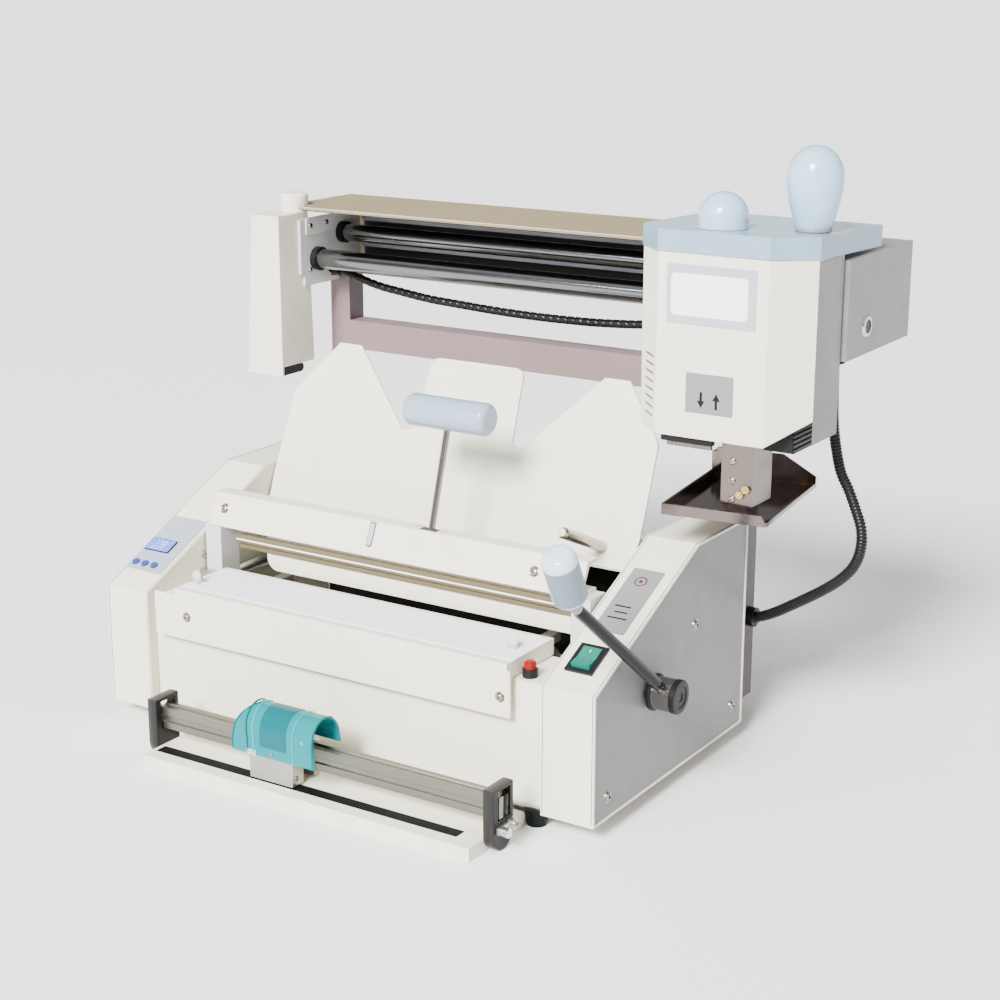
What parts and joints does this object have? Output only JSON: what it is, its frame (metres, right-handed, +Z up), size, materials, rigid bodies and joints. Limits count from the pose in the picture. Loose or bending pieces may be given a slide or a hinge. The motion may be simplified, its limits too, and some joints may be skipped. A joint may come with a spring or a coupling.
{
  "type": "desktop glue binding machine",
  "caption": "Desktop hot glue book binder: a heated glue head sliding on two rods over a book clamp, with a lever-lifted cover table and a rail cutter in front.",
  "frame": {"origin": "on the supporting surface, under the middle of the whole object without its cables", "axes": "+X to the operator's right, +Y to the back, +Z up"},
  "size_m": [0.6256, 0.4504, 0.535],
  "materials": {
    "cream_paint": "fine satin powder coat",
    "side_paint": "fine satin powder coat",
    "post_paint": "satin powder coat",
    "khaki_paint": "satin powder coat",
    "pale_blue": "moulded, slightly glossy",
    "steel": "zinc plated sheet and bar",
    "chrome": "ground and plated",
    "rubber": "matte",
    "black_plastic": "moulded, matte",
    "black_cable": "corrugated conduit and spiral wrap",
    "tray_steel": "folded stainless sheet",
    "circuit_board": "solder mask green",
    "bronze": "sintered bronze and sheathed cartridge",
    "brass": "turned brass",
    "cast_aluminium": "cast",
    "rail_aluminium": "extruded, anodised",
    "teal_plastic": "translucent teal, glossy",
    "red_plastic": "glossy cap",
    "green_plastic": "glossy translucent rocker",
    "navy_plastic": "glossy key cap"
  },
  "bodies": {
    "root": {"base_pan": "steel", "left_housing": "cream_paint", "right_housing": "cream_paint", "side_covers": "side_paint", "front_panel": "cream_paint", "rear_panel": "cream_paint", "rubber_feet": "rubber", "gantry_frame": "post_paint", "gantry_beam": "khaki_paint", "end_plates": "cream_paint", "left_column": "cream_paint", "right_end_cover": "cream_paint", "slide_rods": "chrome", "fixed_bushes": "black_plastic", "drip_tray": "tray_steel", "support_plate": "cream_paint", "guide_pin": "chrome", "jaw_guides": "chrome", "display_plate": "pale_blue", "switch_bezels": "black_plastic", "cutter_table": "cream_paint", "rail_brackets": "black_plastic", "control_board": "circuit_board", "power_inlet": "black_plastic", "power_conduit": "black_cable", "trailing_cable": "black_cable", "cable_glands": "black_plastic"},
    "head": {"head_carriage": "steel", "carriage_bushes": "bronze", "head_shell": "cream_paint", "head_lid": "pale_blue", "heat_guard": "black_plastic", "glue_pot": "cast_aluminium", "pot_heaters": "bronze", "nozzle": "brass", "nozzle_guard": "chrome"},
    "filler": {"filler_cap": "pale_blue"},
    "handle": {"egg_handle": "pale_blue", "valve_rod": "chrome"},
    "crank": {"cam_shaft": "chrome", "crank_arm": "chrome", "crank_grip": "pale_blue"},
    "table": {"cover_table": "cream_paint", "lift_frame": "steel"},
    "jaw": {"front_jaw": "cream_paint", "jaw_sliders": "steel"},
    "press": {"press_bar": "black_plastic"},
    "lever": {"clamp_lever": "chrome", "clamp_grip": "pale_blue"},
    "rocker_switch": {"rocker": "green_plastic"},
    "red_button": {"push_button": "red_plastic"},
    "key_left": {"button_left": "navy_plastic"},
    "key_middle": {"button_middle": "navy_plastic"},
    "key_right": {"button_right": "navy_plastic"},
    "knob": {"column_knob": "cream_paint"},
    "rail": {"cutter_rail": "rail_aluminium"},
    "cutter": {"cutter_carriage": "steel", "cutter_hood": "teal_plastic"},
    "wheel": {"cutting_wheel": "chrome"},
    "latch": {"rail_latch": "steel"}
  },
  "joints": [
    {"name": "head_slide", "type": "slide", "parent": "root", "child": "head", "axis": [-1, 0, 0], "range_m": [0, 0.4], "deforming": ["trailing_cable"]},
    {"name": "filler_lift", "type": "slide", "parent": "head", "child": "filler", "axis": [0, 0.0349, 0.9994], "range_m": [0, 0.04]},
    {"name": "handle_lift", "type": "slide", "parent": "head", "child": "handle", "axis": [0, 0, 1], "range_m": [0, 0.012]},
    {"name": "crank_turn", "type": "hinge", "parent": "root", "child": "crank", "pos_m": [-0.0452, -0.0393, 0.1016], "axis": [1, 0, 0], "range_deg": [0, 45]},
    {"name": "table_lift", "type": "slide", "parent": "root", "child": "table", "axis": [0, 0, 1], "range_m": [0, 0.0123]},
    {"name": "jaw_slide", "type": "slide", "parent": "root", "child": "jaw", "axis": [0, 1, 0], "range_m": [0, 0.034]},
    {"name": "lever_turn", "type": "hinge", "parent": "jaw", "child": "lever", "pos_m": [-0.0102, -0.0328, 0.197], "axis": [1, 0, 0], "range_deg": [0, 25]},
    {"name": "press_slide", "type": "slide", "parent": "jaw", "child": "press", "axis": [0, 1, 0], "range_m": [0, 0.004]},
    {"name": "rocker_tilt", "type": "hinge", "parent": "root", "child": "rocker_switch", "pos_m": [0.1846, -0.0983, 0.14129], "axis": [1, 0, 0], "range_deg": [0, 12]},
    {"name": "red_press", "type": "slide", "parent": "root", "child": "red_button", "axis": [0, 0, -1], "range_m": [0, 0.003], "stiffness_N_per_m": 400, "springref_m": -0.002},
    {"name": "left_key_press", "type": "slide", "parent": "root", "child": "key_left", "axis": [0, 0.4258, -0.9048], "range_m": [0, 0.001], "stiffness_N_per_m": 400, "springref_m": -0.001},
    {"name": "middle_key_press", "type": "slide", "parent": "root", "child": "key_middle", "axis": [0, 0.4258, -0.9048], "range_m": [0, 0.001], "stiffness_N_per_m": 400, "springref_m": -0.001},
    {"name": "right_key_press", "type": "slide", "parent": "root", "child": "key_right", "axis": [0, 0.4258, -0.9048], "range_m": [0, 0.001], "stiffness_N_per_m": 400, "springref_m": -0.001},
    {"name": "knob_turn", "type": "hinge", "parent": "root", "child": "knob", "pos_m": [-0.2807, 0.1297, 0.44], "axis": [0, 0, 1], "continuous": true},
    {"name": "rail_lift", "type": "slide", "parent": "root", "child": "rail", "axis": [0, 0, 1], "range_m": [0, 0.005]},
    {"name": "cutter_slide", "type": "slide", "parent": "rail", "child": "cutter", "axis": [1, 0, 0], "range_m": [-0.09, 0.15]},
    {"name": "wheel_spin", "type": "hinge", "parent": "cutter", "child": "wheel", "pos_m": [-0.0632, -0.1848, 0.027], "axis": [0, 1, 0], "continuous": true},
    {"name": "latch_turn", "type": "hinge", "parent": "root", "child": "latch", "pos_m": [0.1568, -0.1638, 0.02], "axis": [1, 0, 0], "range_deg": [-80, 0]}
  ],
  "couplings": [
    {"joint": "table_lift", "follows": "crank_turn", "m_per_rad": 0.015597},
    {"joint": "press_slide", "follows": "lever_turn", "m_per_rad": 0.009157}
  ]
}
